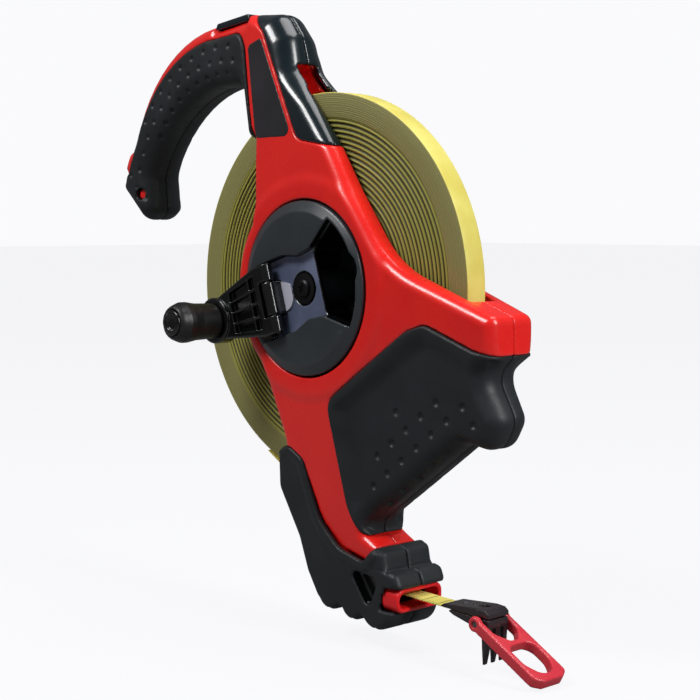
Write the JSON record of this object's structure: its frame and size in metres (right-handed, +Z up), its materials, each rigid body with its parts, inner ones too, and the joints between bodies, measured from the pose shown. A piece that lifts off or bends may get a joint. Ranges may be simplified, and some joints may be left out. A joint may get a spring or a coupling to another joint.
{
  "type": "open-reel measuring tape",
  "caption": "Open-frame long measuring tape: a wound tape on a crank reel in a two-half frame with a hooked carry handle, palm grip, nose and a hook with a folding finger ring.",
  "frame": {"origin": "on the reel's axis, in the plane of the rear hub face that the tool lies on", "axes": "+Y along the reel's axis from the crank side to the rear, +X from the carry handle towards the palm grip, +Z up"},
  "size_m": [0.3437, 0.0865, 0.3431],
  "materials": {
    "frame_red": "smooth moulded",
    "cover_teal": "glossy moulded",
    "rubber_grey": "matte, dimpled",
    "label_grey": "satin film",
    "lip_red": "smooth moulded",
    "felt_green": "felt",
    "steel": "turned",
    "screw_black": "black oxide",
    "bronze": "sintered",
    "hub_grey": "fine texture",
    "crank_black": "satin moulded",
    "tape_olive": "edges of the wound tape",
    "tape_yellow": "coated fibreglass",
    "hook_black": "satin black",
    "ring_red": "smooth moulded"
  },
  "bodies": {
    "frame": {"front_frame": "frame_red", "rear_frame": "frame_red", "front_top_cover": "cover_teal", "rear_top_cover": "cover_teal", "top_insert": "cover_teal", "front_handle_grip": "rubber_grey", "rear_handle_grip": "rubber_grey", "front_label_plate": "label_grey", "rear_label_plate": "label_grey", "front_palm_grip": "rubber_grey", "rear_palm_grip": "rubber_grey", "front_bumper": "rubber_grey", "rear_bumper": "rubber_grey", "mouth_lip": "lip_red", "tape_wiper": "felt_green", "roller_pins": "steel", "frame_screws": "screw_black", "axle": "steel", "axle_washer": "steel", "axle_screw": "screw_black", "tape_run": "tape_yellow"},
    "reel": {"axle_bush": "bronze", "reel_drum": "crank_black", "front_hub_disc": "hub_grey", "hub_disc_screws": "screw_black", "tape_coil": "tape_olive", "crank_hinge_pin": "steel", "crank_detent_leaf": "steel"},
    "crank": {"crank_arm": "crank_black", "knob_spindle": "steel"},
    "knob": {"knob": "crank_black", "knob_cap": "crank_black"},
    "upper_roller": {"upper_guide_roller": "steel"},
    "lower_roller": {"lower_guide_roller": "steel"},
    "tape_end": {"tape_lead": "tape_yellow", "hook_upper_jaw": "hook_black", "hook_lower_jaw": "hook_black", "hook_rivets": "steel", "ground_spikes": "hook_black", "ring_pivot_pins": "hook_black"},
    "ring": {"finger_ring": "ring_red"}
  },
  "joints": [
    {"name": "reel_spin", "type": "hinge", "parent": "frame", "child": "reel", "pos_m": [0, -0.0225, 0], "axis": [0, 1, 0], "continuous": true},
    {"name": "crank_fold", "type": "hinge", "parent": "reel", "child": "crank", "pos_m": [-0.01981, -0.051, -0.00617], "axis": [-0.2974, 0, 0.9548], "range_deg": [0, 180]},
    {"name": "knob_spin", "type": "hinge", "parent": "crank", "child": "knob", "pos_m": [-0.06421, -0.0725, -0.02], "axis": [0, 1, 0], "continuous": true},
    {"name": "upper_roller_spin", "type": "hinge", "parent": "frame", "child": "upper_roller", "pos_m": [0.0466, -0.0225, -0.1462], "axis": [0, 1, 0], "continuous": true},
    {"name": "lower_roller_spin", "type": "hinge", "parent": "frame", "child": "lower_roller", "pos_m": [0.046, -0.0225, -0.1632], "axis": [0, 1, 0], "continuous": true},
    {"name": "tape_pull", "type": "slide", "parent": "frame", "child": "tape_end", "axis": [0.9994, 0, -0.0349], "range_m": [-0.016, 0.03]},
    {"name": "ring_swing", "type": "hinge", "parent": "tape_end", "child": "ring", "pos_m": [0.11587, -0.0225, -0.16458], "axis": [0, -1, 0], "range_deg": [-15, 150]}
  ]
}
